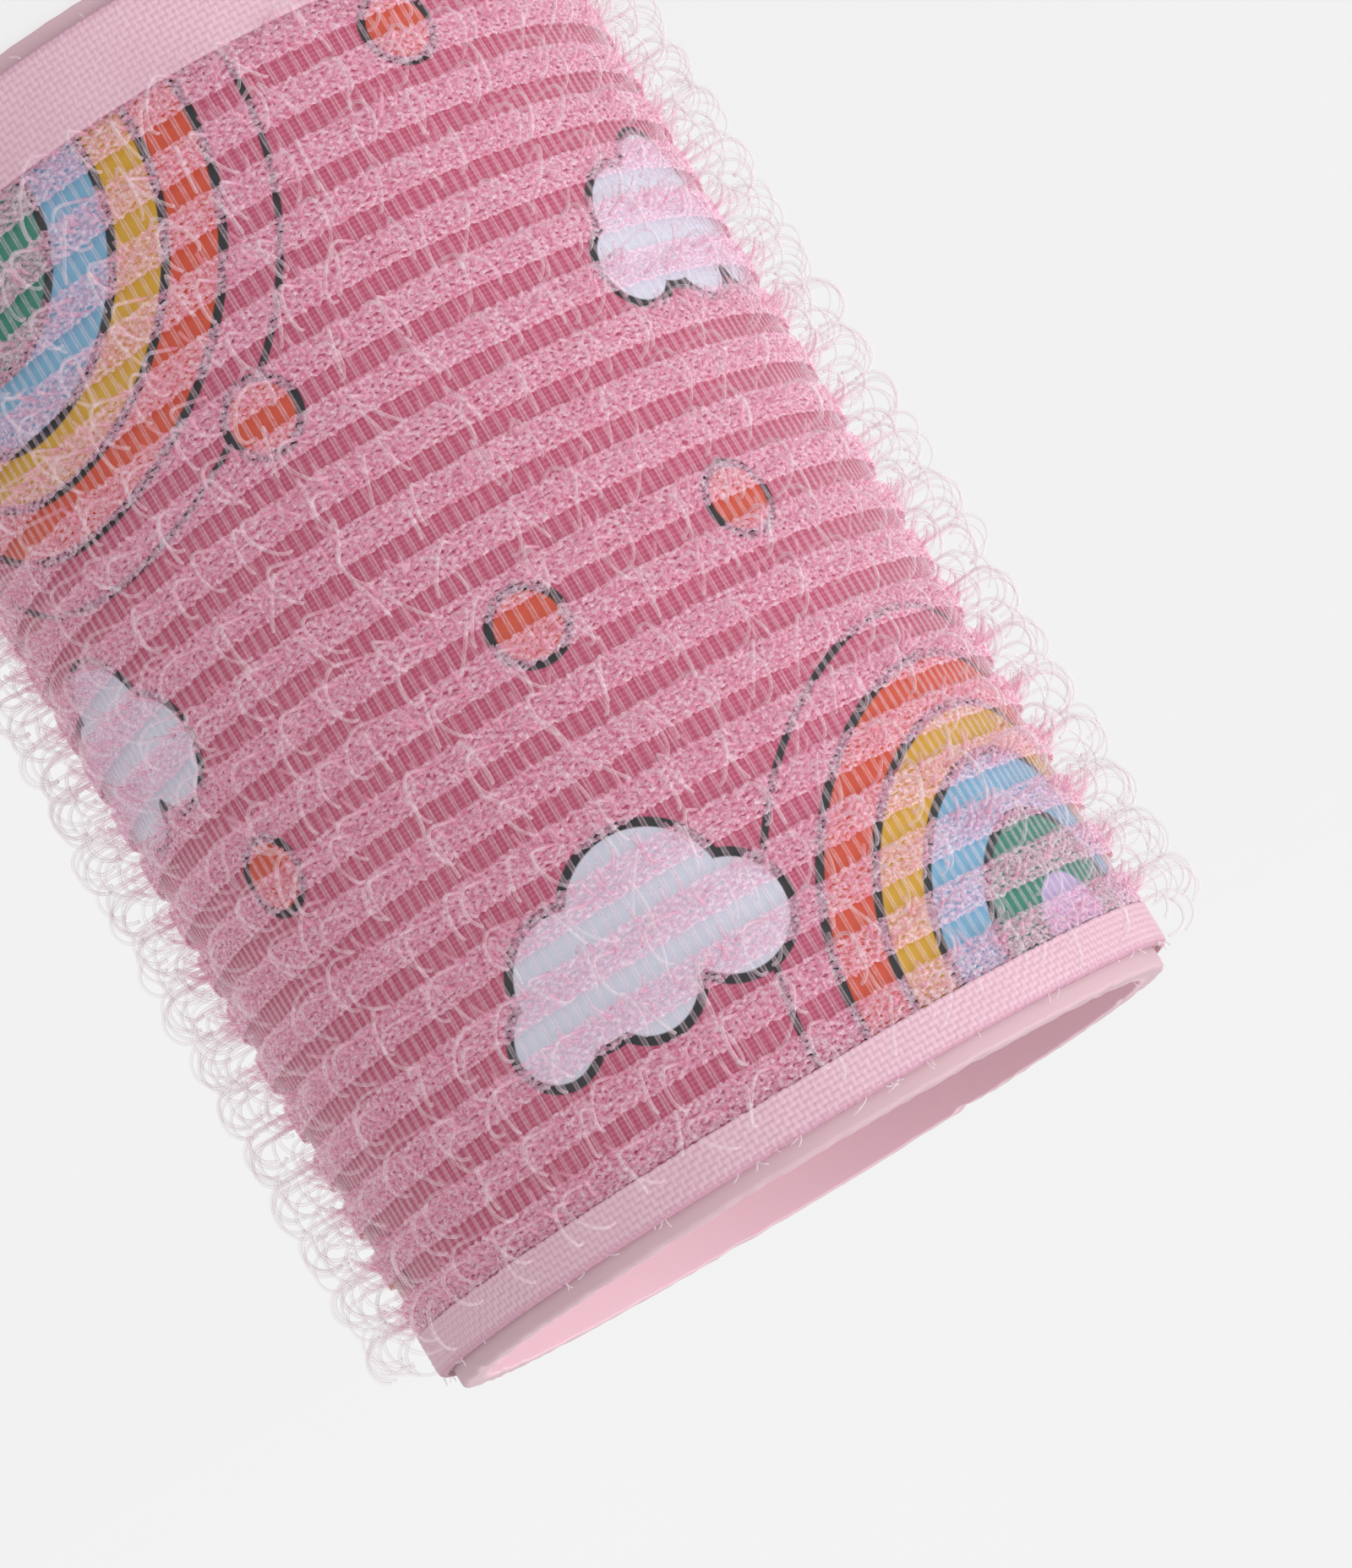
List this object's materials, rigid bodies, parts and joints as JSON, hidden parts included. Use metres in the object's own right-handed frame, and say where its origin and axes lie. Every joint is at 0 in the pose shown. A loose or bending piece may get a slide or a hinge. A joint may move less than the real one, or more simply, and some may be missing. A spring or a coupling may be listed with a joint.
{
  "type": "hair roller",
  "caption": "Self-grip hair roller: a round moulded core wrapped in printed film and in a woven nylon tape that carries rows of small wire hooks.",
  "frame": {"origin": "centre of the end that the roller stands on, at the bottom of its box", "axes": "+Z along the core's bore, from the end with the wide selvedge to the end with the narrow one; the seam of the tape is on +Y, so -Y is the front"},
  "size_m": [0.048, 0.048, 0.065],
  "materials": {
    "core_plastic": "smooth moulded, slightly translucent pink",
    "printed_film": "printed pink film with a fine dot screen, rainbows, clouds and spots",
    "glue": "thin clear hot-melt glue",
    "woven_nylon": "plain-woven pale pink nylon",
    "clear_nylon": "clear nylon filament",
    "hook_nylon": "clear stiff nylon wire"
  },
  "bodies": {
    "root": {"core_tube": "core_plastic", "printed_film": "printed_film", "glue_line_top": "glue", "glue_line_bottom": "glue", "weft_filaments": "clear_nylon", "selvedge_top": "woven_nylon", "selvedge_bottom": "woven_nylon", "warp_band_01": "woven_nylon", "warp_band_02": "woven_nylon", "warp_band_03": "woven_nylon", "warp_band_04": "woven_nylon", "warp_band_05": "woven_nylon", "warp_band_06": "woven_nylon", "warp_band_07": "woven_nylon", "warp_band_08": "woven_nylon", "warp_band_09": "woven_nylon", "warp_band_10": "woven_nylon", "warp_band_11": "woven_nylon", "warp_band_12": "woven_nylon", "warp_band_13": "woven_nylon", "warp_band_14": "woven_nylon", "warp_band_15": "woven_nylon", "warp_band_16": "woven_nylon", "warp_band_17": "woven_nylon", "warp_band_18": "woven_nylon", "warp_band_19": "woven_nylon", "warp_band_20": "woven_nylon", "hook_row_01": "hook_nylon", "hook_row_02": "hook_nylon", "hook_row_03": "hook_nylon", "hook_row_04": "hook_nylon", "hook_row_05": "hook_nylon", "hook_row_06": "hook_nylon", "hook_row_07": "hook_nylon", "hook_row_08": "hook_nylon", "hook_row_09": "hook_nylon", "hook_row_10": "hook_nylon", "hook_row_11": "hook_nylon", "hook_row_12": "hook_nylon", "hook_row_13": "hook_nylon", "hook_row_14": "hook_nylon", "hook_row_15": "hook_nylon", "hook_row_16": "hook_nylon", "hook_row_17": "hook_nylon", "hook_row_18": "hook_nylon", "hook_row_19": "hook_nylon", "hook_row_20": "hook_nylon"}
  },
  "joints": []
}
